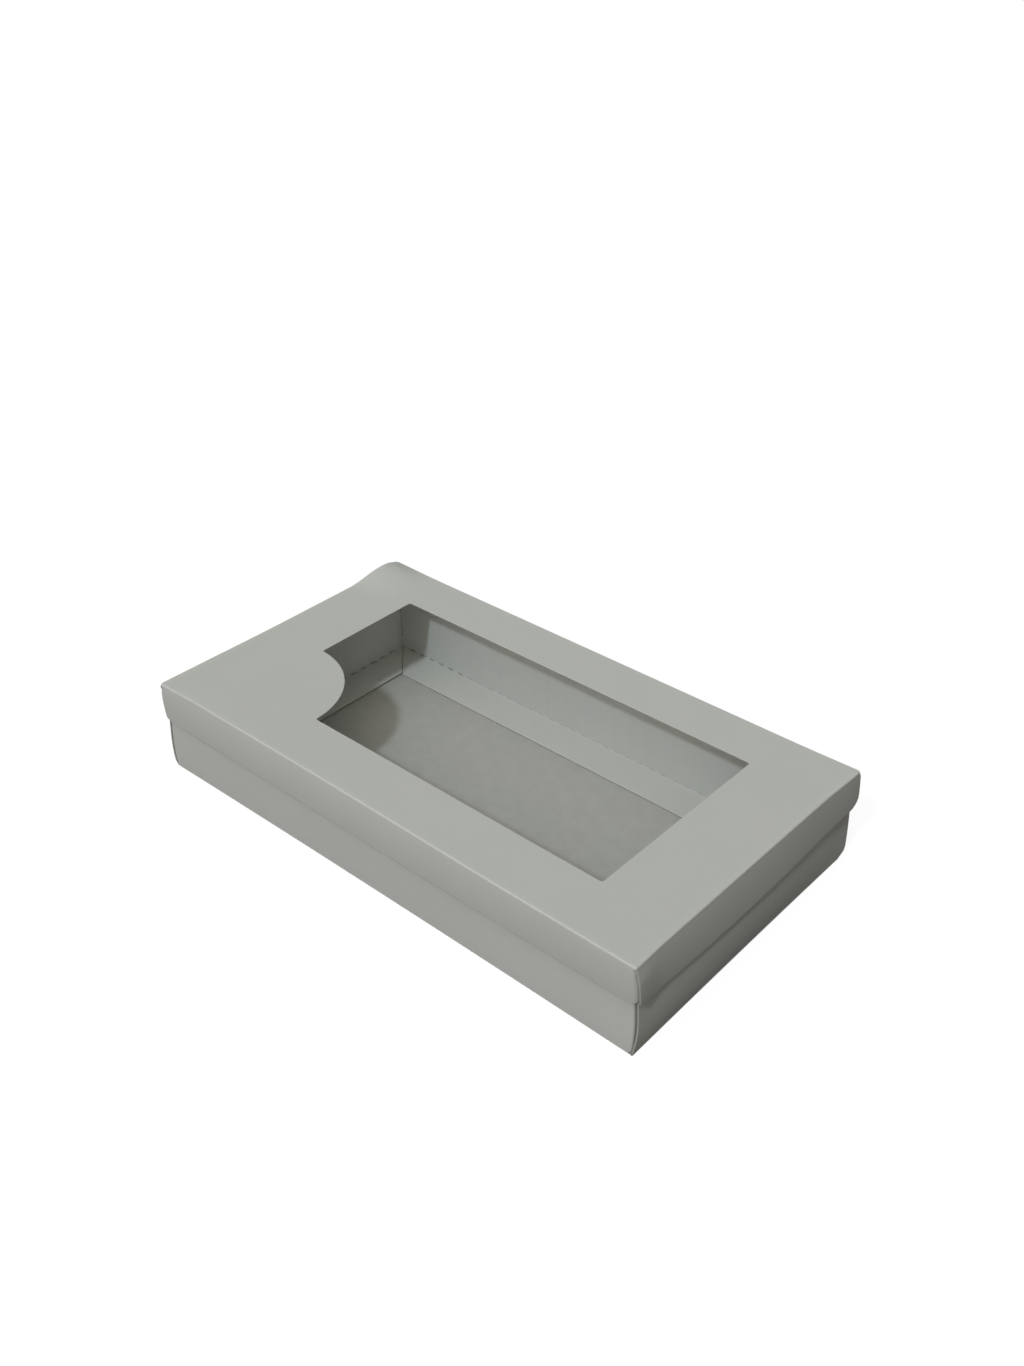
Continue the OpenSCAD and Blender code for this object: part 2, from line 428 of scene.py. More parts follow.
def sheet_faces(rows, columns, kept, ring):
    """Faces of a closed sheet: each kept cell on both grids, and a strip wherever a kept cell ends.

    Returns the faces on the grids and the faces of the strips, all as rows of four points, where the
    second grid's points follow the first grid's."""
    points = rows * columns
    i, j = np.nonzero(kept)
    right = (j + 1) % columns
    a, b, c, d = i * columns + j, i * columns + right, (i + 1) * columns + right, (i + 1) * columns + j
    faces = [np.stack([a, b, c, d], 1), np.stack([d, c, b, a], 1) + points]
    room = np.pad(kept, ((1, 1), (0, 0)))
    room = np.concatenate([room[:, -1:], room, room[:, :1]], 1) if ring else np.pad(room, ((0, 0), (1, 1)))
    ends = (
        (~room[i, j + 1], a, b), (~room[i + 2, j + 1], c, d),
        (~room[i + 1, j], d, a), (~room[i + 1, j + 2], b, c),
    )
    strips = [np.stack([q, p, p + points, q + points], 1)[open_end] for open_end, p, q in ends]
    return np.concatenate(faces), np.concatenate(strips)


def add_object(name, data):
    """New object on the scene."""
    made = bpy.data.objects.new(name, data)
    bpy.context.scene.collection.objects.link(made)
    return made


def card_piece(name, grid, facing, kind, cut=UNCUT, kept=None, ring=False, crease=0.0):
    """Closed sheet of card under a grid of points in millimetres, which is its outer face.

    The second face lies a card's thickness behind the first along the normals; both give way beside a
    cut, whose distance is given for each point. The kind is the face's material, the slot, which is not used,
    and the body."""
    face, slot, body = kind
    rows, columns = grid.shape[:2]
    if kept is None:
        kept = np.ones((rows - 1, columns if ring else columns - 1), bool)
    far = np.broadcast_to(cut, (rows, columns))
    normals = facing_normals(grid, facing, ring)
    drop = cut_drop(far)[..., None]
    outer = grid - normals * drop
    inner = grid - normals * (CARD - drop)
    points = np.concatenate([outer.reshape(-1, 3), inner.reshape(-1, 3)])
    faces, strips = sheet_faces(rows, columns, kept, ring)
    first = points[faces[0]]
    outward = np.cross(first[1] - first[0], first[3] - first[0])
    if outward @ normals[tuple(np.argwhere(kept)[0])] < 0:
        faces, strips = faces[:, ::-1], strips[:, ::-1]
    used, places = np.unique(np.concatenate([faces, strips]), return_inverse=True)
    all_faces = places.reshape(-1, 4)
    mesh = bpy.data.meshes.new(name)
    mesh.from_pydata((points[used] * MM).tolist(), [], all_faces.tolist())
    sides = np.repeat([0, 1, 2], [len(faces) // 2, len(faces) // 2, len(strips)])
    mesh.polygons.foreach_set("material_index", sides)
    mesh.polygons.foreach_set("use_smooth", np.ones(len(all_faces), bool))
    marks = {"crease": np.broadcast_to(crease, (rows, columns)), "cut": np.exp(-far / WEAR_REACH)}
    for mark, values in marks.items():
        layer = mesh.attributes.new(mark, "FLOAT", "POINT")
        layer.data.foreach_set("value", np.tile(values.ravel(), 2)[used].astype(np.float32))
    mesh.validate()
    mesh.set_sharp_from_angle(angle=math.radians(SHARP_ANGLE))
    for material in (face, "reverse_board", "cut_edge"):
        mesh.materials.append(card_material(material))
    piece = add_object(name, mesh)
    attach(piece, body)
    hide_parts(name)


def outward_shift(points, half_long, half_end, reach, shift):
    """Moves points near the sides outwards by shift(side, along), in full at the card's face and fading
    over the reach inside it."""
    x, y = points[..., X], points[..., Y]
    beside_x = ramp(np.abs(x), half_long - reach, half_long - CARD)
    beside_y = ramp(np.abs(y), half_end - reach, half_end - CARD)
    move_x = np.where(x > 0, shift("right", y / half_end), -shift("left", -y / half_end))
    move_y = np.where(y > 0, shift("back", -x / half_long), -shift("front", x / half_long))
    return np.stack([beside_x * move_x, beside_y * move_y], -1)


def round_corners(points, radius):
    """Shift that draws the square corner of a plan onto a quarter circle: each point keeps its share of
    the way from the circle's middle to the outline."""
    over = np.abs(points[..., :2]) - (LID_END, LID_SIDE) + radius[..., None]
    inside = (over > 0).all(-1)
    far = np.maximum(np.hypot(over[..., 0], over[..., 1]), 1e-6)
    share = np.where(inside, over.max(-1) / far, 1)
    return (share - 1)[..., None] * over * np.sign(points[..., :2])


def skirt_depth(up):
    """Share of the way down from the fold to the skirts' raw edge."""
    return np.clip((FOLD_LINE - up) / (FOLD_LINE - SKIRT_LOW), 0, 1)


def settle_lid(points):
    """Moves lid points as the real card has settled.

    The skirts stand out in a parabola for their belly plus a straight lean. The front fold bows up and
    in over the left half, the right fold rises a little to the back, the left end is turned out at its
    front, the other corners are pulled out, the front left corner bulges below its top, and the back left
    corner springs up in a hump along the left end."""
    sizes = bpy.context.scene.box_sizes
    x, y, z = points[..., X], points[..., Y], points[..., Z]
    depth = skirt_depth(z)

    def stand(side, share):
        belly = through_three(share, *LID_BELLIES[side])
        return belly * 4 * depth * (1 - depth) + through_three(share, *LID_LEANS[side]) * depth

    shift = outward_shift(points, LID_END, LID_SIDE, LID_REACH, stand)
    radius = np.where((x > 0) & (y < 0), NEAR_CORNER_R, CORNER_R)
    shift = shift + round_corners(points, radius * ramp(z, FOLD_LINE - CORNER_FADE, FOLD_LINE))
    front = ramp(-y, -0.5 * WINDOW_FRONT, LID_SIDE)
    bow = sizes.front_bow * ramp(x, -LID_END, -0.8 * LID_END) * (1 - ramp(x, -0.33 * LID_END, 0.5 * LID_END))
    right, left = ramp(x, 0.85 * LID_END, LID_END), 1 - ramp(x, -LID_END, 0.8 * -LID_END)
    near, far = ramp(-y, 0.75 * LID_SIDE, LID_SIDE), ramp(y, 0.65 * LID_SIDE, LID_SIDE)
    bulge = ramp(-x, LID_END - BULGE_REACH, LID_END) * ramp(-y, LID_SIDE - BULGE_REACH, LID_SIDE - CARD)
    bulge = sizes.corner_bulge * bulge * ramp(depth, -0.15, 0.2) * (1 - ramp(depth, 0.15, 0.75))
    shift_x = right * (NEAR_PULL * near + FAR_PULL * far) - LEFT_TURN * left * ramp(-y, 0, LID_SIDE) - bulge
    shift_y = front * (bow - FRONT_PULL * ramp(x, 0, 0.7 * LID_END))
    shift_y = shift_y + far * (BACK_PULL + BACK_RIGHT_PULL * right) - 0.3 * bulge
    spring = 1 - ramp(y, SPRUNG_PEAK + SPRUNG_FLAT, LID_SIDE + SPRUNG_FLAT)
    spring = ramp(y, SPRUNG_START, SPRUNG_PEAK) * spring
    spring = sizes.sprung_corner * spring * (1 - ramp(x, -LID_END, -LID_END + SPRUNG_REACH))
    rise = sizes.right_rise * ramp(x, WINDOW_RIGHT, LID_END) * ramp(y, -LID_SIDE, 0.5 * LID_SIDE)
    shift_z = front * bow + rise + spring * (1 - 0.6 * depth)
    return points + np.stack([shift[..., X] + shift_x, shift[..., Y] + shift_y, shift_z], -1)


def settle_tray(points):
    """Moves tray points: the outer walls stand out in a parabola over their height, nil at the rim, and
    spread at their feet, and the hollow front wall leans inwards in the right half."""
    x, y, z = points[..., X], points[..., Y], points[..., Z]
    height = np.clip((z - BEND) / (RIM_LINE - BEND), 0, 1)

    def stand(side, share):
        belly = through_three(share, *TRAY_BELLIES[side])
        foot = through_three(share, *TRAY_FEET[side])
        return belly * 4 * height * (1 - height) + foot * (1 - ramp(z, *FOOT_FADE))

    shift = outward_shift(points, TRAY_END, TRAY_SIDE, WALL - CARD, stand)
    lean = ramp(x, 0, 0.7 * TRAY_END) * ramp(z, CARD, 0.5 * TRAY_TOP)
    lean = bpy.context.scene.box_sizes.front_lean * lean * ramp(-y, TRAY_SIDE - 2 * WALL, TRAY_SIDE - WALL)
    return points + np.stack([shift[..., X], shift[..., Y] + lean, 0 * z], -1)


def round_ends(way, length, start_round, end_round):
    """Way along a side of the window and its inward shift, once the corners at its ends are rounded: a
    point within the corner's radius of the corner goes onto its quarter circle."""
    near_start = np.clip(1 - way / WINDOW_CORNER_R, 0, 1) * start_round
    near_end = np.clip(1 - (length - way) / WINDOW_CORNER_R, 0, 1) * end_round
    angle = (near_start - near_end) * math.pi / 4
    shift = WINDOW_CORNER_R * (1 - np.cos(angle))
    moved = np.where(near_start > 0, WINDOW_CORNER_R * (1 - np.sin(angle)), way)
    moved = np.where(near_end > 0, length - WINDOW_CORNER_R * (1 + np.sin(angle)), moved)
    return moved, shift


def window_loop(front, right, back, left):
    """Points of the window's outline that belong to the stations of the four sides.

    Each side's stations, from -1 to 1, map evenly onto its part of the outline. The front and the left
    side share the disc's quarter circle, which each follows up to its middle."""
    split_front = (WINDOW_LEFT + DISC_R) / LID_END
    split_left = -(WINDOW_FRONT + DISC_R) / LID_SIDE
    width = WINDOW_BACK - WINDOW_FRONT
    length = WINDOW_RIGHT - WINDOW_LEFT

    def on_disc(angle):
        return WINDOW_LEFT + DISC_R * np.cos(angle), WINDOW_FRONT + DISC_R * np.sin(angle)

    disc = on_disc(np.interp(front, (-1, split_front), (math.pi / 4, 0)))
    way, shift = round_ends(np.interp(front, (split_front, 1), (DISC_R, length)), length, 0, 1)
    parts = [np.where(front < split_front, disc, (WINDOW_LEFT + way, WINDOW_FRONT + shift))]
    way, shift = round_ends(np.interp(right, (-1, 1), (0, width)), width, 1, 1)
    parts.append((WINDOW_RIGHT - shift, WINDOW_FRONT + way))
    way, shift = round_ends(np.interp(back, (-1, 1), (0, length)), length, 1, 1)
    parts.append((WINDOW_RIGHT - way, WINDOW_BACK - shift))
    disc = on_disc(np.interp(left, (split_left, 1), (math.pi / 2, math.pi / 4)))
    way, shift = round_ends(np.interp(left, (-1, split_left), (0, width - DISC_R)), width - DISC_R, 1, 0)
    parts.append(np.where(left > split_left, disc, (WINDOW_LEFT + shift, WINDOW_BACK - way)))
    return np.concatenate(parts, axis=1).T


def build_lid_top():
    """Lid top: rings between the window's outline and the fold lines, each point on the straight line
    between its place on the outline and its place on the folds."""
    half_long, half_end = LID_END - BEND, LID_SIDE - BEND
    long_way, end_way = stations(half_long)[:-1], stations(half_end)[:-1]
    folds = []
    for side in SIDES:
        if side in LONG_SIDES:
            folds.append(turn(side, long_way * half_long, half_end, LID_TOP))
        else:
            folds.append(turn(side, end_way * half_end, half_long, LID_TOP))
    folds = np.concatenate(folds)[:, :2]
    window = window_loop(long_way, end_way, long_way, end_way)
    span = np.linalg.norm(folds - window, axis=1)
    close = np.array(EDGE_STEPS)[:, None] / span
    even = close[-1] + (1 - close[-1]) * np.linspace(0, 1, TOP_RINGS)[1:, None]
    share = np.concatenate([close, even])[..., None]
    flat = window + (folds - window) * share
    grid = np.concatenate([flat, np.full(flat.shape[:2] + (1,), LID_TOP)], 2)
    distance = share[..., 0] * span
    card_piece("lid_top", settle_lid(grid), (0, 0, 1), LID, cut=distance, ring=True,
               crease=np.exp(-(span - distance) / CREASE_REACH))


def skirt_section():
    """Outer face of a skirt in the section: the fold's quarter circle and the leaf to its raw edge."""
    fold_out, fold_up = arc(-BEND, FOLD_LINE, BEND, 90, 0)
    leaf_up = rows_between(FOLD_LINE, SKIRT_LOW, SKIRT_PITCH, cut_end=True)[1:]
    return np.append(fold_out, 0 * leaf_up)[:, None], np.append(fold_up, leaf_up)[:, None]


def fold_mark(up, line):
    """Mark of a crease: 1 on the bend, fading beyond it."""
    return np.exp(-np.clip(np.abs(up - line) - BEND, 0, None) / CREASE_REACH)


def corner_bend(up, near):
    """Radius of the lid's corner bends, which open towards the raw edge, the near one at once."""
    depth = skirt_depth(up)
    opening = np.where(near, NEAR_OPENING * ramp(depth, 0, 0.4), depth)
    return BEND + bpy.context.scene.box_sizes.corner_bend * opening


def edge_rise(side, along):
    """Rise of a long skirt's raw edge: a quarter circle at both ends, which the tabs carry on, and on the
    front side a slight climb in the right half and just before the left end."""
    start = np.where((along > 0) & (side == "front"), NEAR_NOTCH_START, NOTCH_START)
    way = np.clip(np.abs(along) - (LID_END - start), 0, 0.9 * NOTCH_R)
    rise = NOTCH_R - np.sqrt(NOTCH_R ** 2 - way ** 2)
    if side == "front":
        begin, end = (LID_END - distance for distance in LEFT_CLIMB_STRETCH)
        rise = rise + RIGHT_CLIMB * ramp(along, 0, 0.6 * LID_END) + LEFT_CLIMB * ramp(-along, begin, end)
    return rise


def build_long_skirt(side):
    """Long skirt: the fold is mitred at both ends, and the leaf ends where the corner bends begin."""
    out, up = skirt_section()
    way = stations(LID_END - BEND)[None, :]
    share = skirt_depth(up)
    near = (way > 0) & (side == "front")
    bend_start = LID_END - CARD - TAB_GAP - corner_bend(SKIRT_LOW, near)
    bend = corner_bend(up + share * edge_rise(side, np.sign(way) * bend_start), near)
    mitre, leaf_end = LID_END + out, LID_END - CARD - TAB_GAP - bend
    run = mitre + (leaf_end - mitre) * ramp(-up, -(FOLD_LINE + 0.5 * BEND), -(FOLD_LINE - TAB_RELIEF))
    along = run * way
    rise = edge_rise(side, along)
    height = up + rise * share
    grid = settle_lid(turn(side, along, LID_SIDE + out, height))
    card_piece(f"lid_{side}_skirt", grid, turn(side, 0, 1, 1), LID, cut=height - SKIRT_LOW - rise,
               crease=fold_mark(up, FOLD_LINE))


def build_end_skirt(side, setbacks, radii, flares):
    """End skirt: the fold is mitred, the leaf's side edges are raw and its lower corners are round.

    The setbacks of the side edges, the radii of the corners and the distances by which the edges stand
    away from the tabs at the bottom are given for the start and the end."""
    out, up = skirt_section()
    way = stations(LID_SIDE - BEND)[None, :]
    setback, radius, flare = (np.where(way < 0, *pair) for pair in (setbacks, radii, flares))
    leaf = LID_SIDE - setback * ramp(-up, -FOLD_LINE, SKIRT_SETBACK_REACH - FOLD_LINE)
    run = np.minimum(LID_SIDE + out, corner_run(leaf, up - SKIRT_LOW, radius))
    along = run * way
    depth = skirt_depth(up)
    out_of_line = flare * ramp(depth, 0, 0.4) * ramp(np.abs(along), LID_SIDE - FLARE_REACH, LID_SIDE)
    short = through_three(way, *LID_CUTS[side]) * depth
    grid = settle_lid(turn(side, along, LID_END + out, up + short)) + turn(side, 0, out_of_line, 0)
    edge = np.where(up > FOLD_LINE, UNCUT, run - np.abs(along))
    card_piece(f"lid_{side}_skirt", grid, turn(side, 0, 1, 1), LID, cut=np.minimum(edge, up - SKIRT_LOW),
               crease=fold_mark(up, FOLD_LINE))


def tab_grid(ends, low, high, bend_at, rise_at, leaf_gap):
    """Tab at the front right corner: columns follow the corner bend's quarter circle and then the leaf
    behind the end panel, rows go from the tab's low edge to its high edge. The gap to the end panel
    changes from the tab gap to the leaf's gap just behind the bend."""
    end_face, side_face = ends
    leaf_way = rows_between(0, TAB_LENGTH, TAB_PITCH, cut_end=True)[1:]
    angle = np.append(np.linspace(0, math.pi / 2, ARC_STEPS + 1), np.full(len(leaf_way), math.pi / 2))
    leaf = np.append(np.zeros(ARC_STEPS + 1), leaf_way)
    taper = TAB_TAPER * leaf / TAB_LENGTH
    lowest = low + taper + rise_at(angle)
    highest = high - taper
    share = rows_between(0, 1, TAB_ROW_SHARE)[:, None]
    close = np.array(EDGE_STEPS[1:4])[:, None] / (high - low)
    share = np.sort(np.concatenate([share, close, 1 - close]), 0)
    height = lowest + (highest - lowest) * share
    bend = bend_at(height)
    gap = TAB_GAP + (leaf_gap - TAB_GAP) * ramp(leaf, 0, TAB_GAP_REACH)
    x = end_face - CARD - gap - bend + bend * np.sin(angle)
    out = side_face - bend + bend * np.cos(angle) - leaf
    cut = np.minimum(np.minimum(height - lowest, highest - height), TAB_LENGTH - leaf)
    return np.stack([x, -out, height], -1), cut


def build_lid_tab(name, x_side, y_side):
    """Lid's glue tab, whose bend and low edge carry on those of the long skirt; drawn at the front right
    corner and mirrored to its place."""
    side = "front" if y_side < 0 else "back"
    along = -x_side * y_side
    near = x_side > 0 > y_side
    low_bend = corner_bend(SKIRT_LOW, near)

    def rise_at(angle):
        return edge_rise(side, along * (LID_END - CARD - TAB_GAP + low_bend * (angle - 1)))

    def bend_at(up):
        return corner_bend(up, near)

    grid, cut = tab_grid((LID_END, LID_SIDE), SKIRT_LOW, FOLD_LINE - TAB_RELIEF, bend_at, rise_at, 0.0)
    grid = settle_lid(grid * (x_side, -y_side, 1))
    card_piece(f"lid_tab_{name}", grid, (x_side, y_side, 0), LID, cut=cut)


def build_tray_tab(name, x_side, y_side):
    """Tray's glue tab with an even bend and edge, whose leaf has sprung away from the end wall."""
    grid, cut = tab_grid((TRAY_END, TRAY_SIDE), BEND + TAB_RELIEF, RIM_LINE - TAB_RELIEF,
                         lambda up: TRAY_BEND + 0 * up, lambda angle: 0 * angle, SPRUNG_TAB_GAP)
    grid = settle_tray(grid * (x_side, -y_side, 1))
    card_piece(f"tray_tab_{name}", grid, (x_side, y_side, 0), TRAY, cut=cut)


def tray_faces(side):
    """Distances from the middle to a side's outer face, and to the outer faces at its two ends."""
    return (TRAY_SIDE, TRAY_END) if side in LONG_SIDES else (TRAY_END, TRAY_SIDE)


def foot_section():
    """Outer face of a tray wall: the crease's quarter circle up from the floor and the leaf to the rim."""
    foot_out, foot_up = arc(-BEND, BEND, BEND, -90, 0)
    leaf_up = rows_between(BEND, RIM_LINE, WALL_PITCH)[1:]
    return np.append(foot_out, 0 * leaf_up)[:, None], np.append(foot_up, leaf_up)[:, None]


def build_outer_wall(side, run, raw):
    """Outer wall with the half length of each row, whose side edges are raw or meet the corner bends. Its
    first row lies on the floor panel's edge and isn't moved."""
    out, up = foot_section()
    face, corner = tray_faces(side)
    along = run * stations(corner)
    grid = settle_tray(turn(side, along, face + out, up))
    floor_edge = FLOOR_SIDE if side in LONG_SIDES else FLOOR_END
    grid = np.concatenate([turn(side, along[:1], floor_edge, 0), grid])
    cut = run - np.abs(along)
    card_piece(f"tray_{side}_wall", grid, turn(side, 0, 1, -1), TRAY,
               cut=np.concatenate([cut[:1], cut]) if raw else UNCUT,
               crease=fold_mark(np.append(0, up), 0)[:, None])


def build_long_wall(side):
    """Long outer wall: its ends meet the corner bends, and its foot crease reaches a little further."""
    up = foot_section()[1]
    leaf_end = TRAY_END - CARD - TAB_GAP - TRAY_BEND
    build_outer_wall(side, leaf_end + FOOT_EXTENSION * np.clip(1 - up / BEND, 0, 1), False)


def build_end_wall(side, setbacks, radii):
    """End wall: raw side edges and round lower corners, as deep as the crease at its foot leaves them.

    The setbacks of the side edges and the radii of the corners are given for the start and the end."""
    up = foot_section()[1]
    way = stations(TRAY_SIDE)
    setback, radius = (np.where(way < 0, *pair) for pair in (setbacks, radii))
    leaf = TRAY_SIDE - setback * ramp(up, 0, WALL_SETBACK_REACH)
    build_outer_wall(side, corner_run(leaf, np.clip(up - BEND, 0, None), radius), True)


def build_rim(side):
    """Rim strip: outer crease, flat and inner crease, cut to a mitre at both ends."""
    face, corner = tray_faces(side)
    outer_out, outer_up = arc(-BEND, RIM_LINE, BEND, 0, 90)
    inner_out, inner_up = arc(BEND - WALL, RIM_LINE, BEND, 90, 180)
    flat_out = np.linspace(-BEND, BEND - WALL, RIM_STEPS)[1:-1]
    out = np.concatenate([outer_out, flat_out, inner_out])[:, None]
    up = np.concatenate([outer_up, np.full(len(flat_out), TRAY_TOP), inner_up])[:, None]
    end = CARD + BEND if side in LONG_SIDES else END_SETBACK
    run = np.minimum(corner + out - MITRE_GAP, corner - end)
    along = run * stations(corner - WALL)
    grid = settle_tray(turn(side, along, face + out, up))
    card_piece(f"{side}_rim", grid, (0, 0, 1), TRAY, cut=run - np.abs(along),
               crease=np.exp(-np.minimum(-out, out + WALL) / BEND))


def build_inner_wall(side):
    """Inner wall: a flat leaf from the rim line to the floor, with a row of cuts at its foot.

    The columns stand at the ends of the cuts, and the cells between them in the cut row are left out. At
    the back the cuts' upper edge comes down to a share of its height, except near the left corner."""
    face, corner = tray_faces(side)
    run = corner - WALL - MITRE_GAP
    pitch = CUT_LENGTH + CUT_BRIDGE
    cuts = int((2 * (run - CREASE_END) + CUT_BRIDGE) // pitch)
    starts = -(cuts * pitch - CUT_BRIDGE) / 2 + np.arange(cuts) * pitch
    bridges = starts + CUT_LENGTH + CUT_BRIDGE / 2
    ends = run - np.array(EDGE_STEPS[:4])
    along = np.sort(np.concatenate([starts, starts + CUT_LENGTH, bridges, -ends, ends]))
    along = along[np.append(np.diff(along) > 1e-6, True)]
    up = np.append((CARD, FLAP_TOP), rows_between(FLAP_TOP + CUT_HEIGHT, RIM_LINE, PITCH))
    middle = (along[:-1] + along[1:]) / 2
    in_cut = ((middle[:, None] > starts) & (middle[:, None] < starts + CUT_LENGTH)).any(1)
    kept = np.ones((len(up) - 1, len(along) - 1), bool)
    kept[1, in_cut] = False
    opening = np.ones(len(along))
    if side == "back":
        opening = PRESSED_CUT + (1 - PRESSED_CUT) * ramp(along, *PRESSED_STRETCH)
    rows = np.repeat(up[:, None], len(along), axis=1)
    rows[2] = FLAP_TOP + CUT_HEIGHT * opening
    grid = settle_tray(turn(side, along, face - WALL, rows))
    card_piece(f"{side}_inner_wall", grid, turn(side, 0, -1, 0), INNER, cut=run - np.abs(along), kept=kept,
               crease=np.exp(-np.abs(up - FLAP_TOP))[:, None])


def build_flap(side):
    """Floor flap: a strip from the foot of its inner wall, mitred at both ends, whose free edge lifts as
    the square of the way to it."""
    face, end_face = tray_faces(side)
    depth, crease_run = (FLAP_SIDE, FLAP_HALF_SIDE) if side in LONG_SIDES else (FLAP_END, FLAP_HALF_END)
    corner = end_face - WALL
    way = rows_between(0, depth, FLAP_PITCH, cut_end=True)[:, None]
    run = np.minimum(crease_run, corner - way - FLAP_GAP)
    along = run * stations(corner - depth)
    lift = through_three(along / corner, *FLAP_LIFTS[side]) * (way / depth) ** 2
    if side == "left":
        lift = lift + bpy.context.scene.box_sizes.flap_lift * (way / depth) ** 2
    grid = turn(side, along, face - WALL - way, FLAP_TOP + lift)
    card_piece(f"{side}_flap", grid, (0, 0, 1), ("outer_board", "inner_card", f"{side}_flap"),
               cut=np.minimum(run - np.abs(along), depth - way), crease=np.exp(-way))


def plug(tree, value, socket):
    """Links an output to an input socket, or sets the socket to a plain value."""
    if isinstance(value, bpy.types.NodeSocket):
        tree.links.new(value, socket)
    else:
        socket.default_value = value


def node_group(name, inputs, outputs):
    """Empty shader node group, whose inputs are named with their values and whose outputs are named;
    returns it with the sockets of its input node and of its output node."""
    group = bpy.data.node_groups.new(name, "ShaderNodeTree")
    for way, sockets in (("INPUT", inputs), ("OUTPUT", dict.fromkeys(outputs))):
        for socket, value in sockets.items():
            kind = NAMED_SOCKETS.get(socket, "NodeSocketFloat")
            made = group.interface.new_socket(socket, in_out=way, socket_type=kind)
            if value is not None:
                made.default_value = value
    return group, group.nodes.new("NodeGroupInput").outputs, group.nodes.new("NodeGroupOutput").inputs


def operation_node(tree, kind, operation, values):
    """Node of a kind that has operations, whose inputs are numbers or sockets; returns its output."""
    node = tree.nodes.new(kind)
    node.operation = operation
    for place, value in values.items():
        plug(tree, value, node.inputs[place])
    return node.outputs[0]


def math_node(tree, operation, *values):
    """Math node whose inputs are numbers or sockets; returns its output."""
    return operation_node(tree, "ShaderNodeMath", operation, dict(enumerate(values)))


def mix_colours(tree, factor, first, second, blend="MIX"):
    """Mix Color node whose inputs are colours, numbers or sockets; returns its output."""
    node = tree.nodes.new("ShaderNodeMix")
    node.data_type = "RGBA"
    node.blend_type = blend
    for index, value in ((0, factor), (6, first), (7, second)):
        plug(tree, value, node.inputs[index])
    return node.outputs[2]


def noise(tree, vector, scale, detail, stretch=None):
    """Noise texture over a vector, at a scale per metre, stretched by a factor for each axis."""
    if stretch:
        vector = operation_node(tree, "ShaderNodeVectorMath", "MULTIPLY", {0: vector, 1: stretch})
    texture = tree.nodes.new("ShaderNodeTexNoise")
    plug(tree, vector, texture.inputs["Vector"])
    plug(tree, scale, texture.inputs["Scale"])
    plug(tree, detail, texture.inputs["Detail"])
    return texture.outputs[0]


def card_tone_group():
    """Colour of grey board: broad clouds, small flecks and drawn streaks swing a tone about 1, which
    scales the colour after a slight cool and warm drift."""
    if "Card Tone" in bpy.data.node_groups:
        return bpy.data.node_groups["Card Tone"]
    group, given, result = node_group("Card Tone", TONE_INPUTS, ("Colour", "Tone"))
    vector = given["Vector"]
    tone = 1.0
    for name, texture in (
            ("Cloud", noise(group, vector, given["Cloud Scale"], CLOUD_DETAIL)),
            ("Fleck", noise(group, vector, *TEXTURES["flecks"])),
            ("Streak", noise(group, vector, *TEXTURES["streaks"]))):
        swing = math_node(group, "SUBTRACT", texture, 0.5)
        tone = math_node(group, "MULTIPLY_ADD", swing, given[f"{name} Strength"], tone)
    tinted = mix_colours(group, noise(group, vector, *TEXTURES["drift"]), COOL_TINT, WARM_TINT)
    tinted = mix_colours(group, 1.0, given["Colour"], tinted, "MULTIPLY")
    scaled = operation_node(group, "ShaderNodeVectorMath", "SCALE", {0: tinted, "Scale": tone})
    plug(group, scaled, result["Colour"])
    plug(group, tone, result["Tone"])
    return group


def card_tooth_group():
    """Height of the card's surface: felted fibres in two directions over a fine tooth."""
    if "Card Tooth" in bpy.data.node_groups:
        return bpy.data.node_groups["Card Tooth"]
    group, given, result = node_group("Card Tooth", TOOTH_INPUTS, ("Height",))
    along, across, tooth = (noise(group, given["Vector"], *TEXTURES[name])
                            for name in ("fibres", "cross fibres", "tooth"))
    fibres = math_node(group, "ADD", along, across)
    plug(group, math_node(group, "MULTIPLY_ADD", fibres, given["Fibre Share"], tooth), result["Height"])
    return group


def edge_wear_group():
    """Mask of rubbed card: strongest on creases and beside cuts, broken up by a fine noise."""
    if "Edge Wear" in bpy.data.node_groups:
        return bpy.data.node_groups["Edge Wear"]
    group, given, result = node_group("Edge Wear", WEAR_INPUTS, ("Mask",))
    broken = math_node(group, "MULTIPLY_ADD", noise(group, given["Vector"], *TEXTURES["rubs"]), *RUB_CONTRAST)
    rubbed = math_node(group, "MULTIPLY", given["Crease"], given["Crease Strength"])
    rubbed = math_node(group, "MULTIPLY_ADD", given["Cut"], given["Cut Strength"], rubbed)
    mask = math_node(group, "MULTIPLY", rubbed, broken)
    mask.node.use_clamp = True
    plug(group, mask, result["Mask"])
    return group


def place_group(tree, group, **values):
    """Places a node group in a material and returns its outputs; the values are its inputs, by name with
    spaces as underscores."""
    node = tree.nodes.new("ShaderNodeGroup")
    node.node_tree = group
    for name, value in values.items():
        plug(tree, value, node.inputs[name.replace("_", " ")])
    return node.outputs


def attribute(tree, name):
    """Value of a point attribute of the piece."""
    node = tree.nodes.new("ShaderNodeAttribute")
    node.attribute_name = name
    return node.outputs["Fac"]


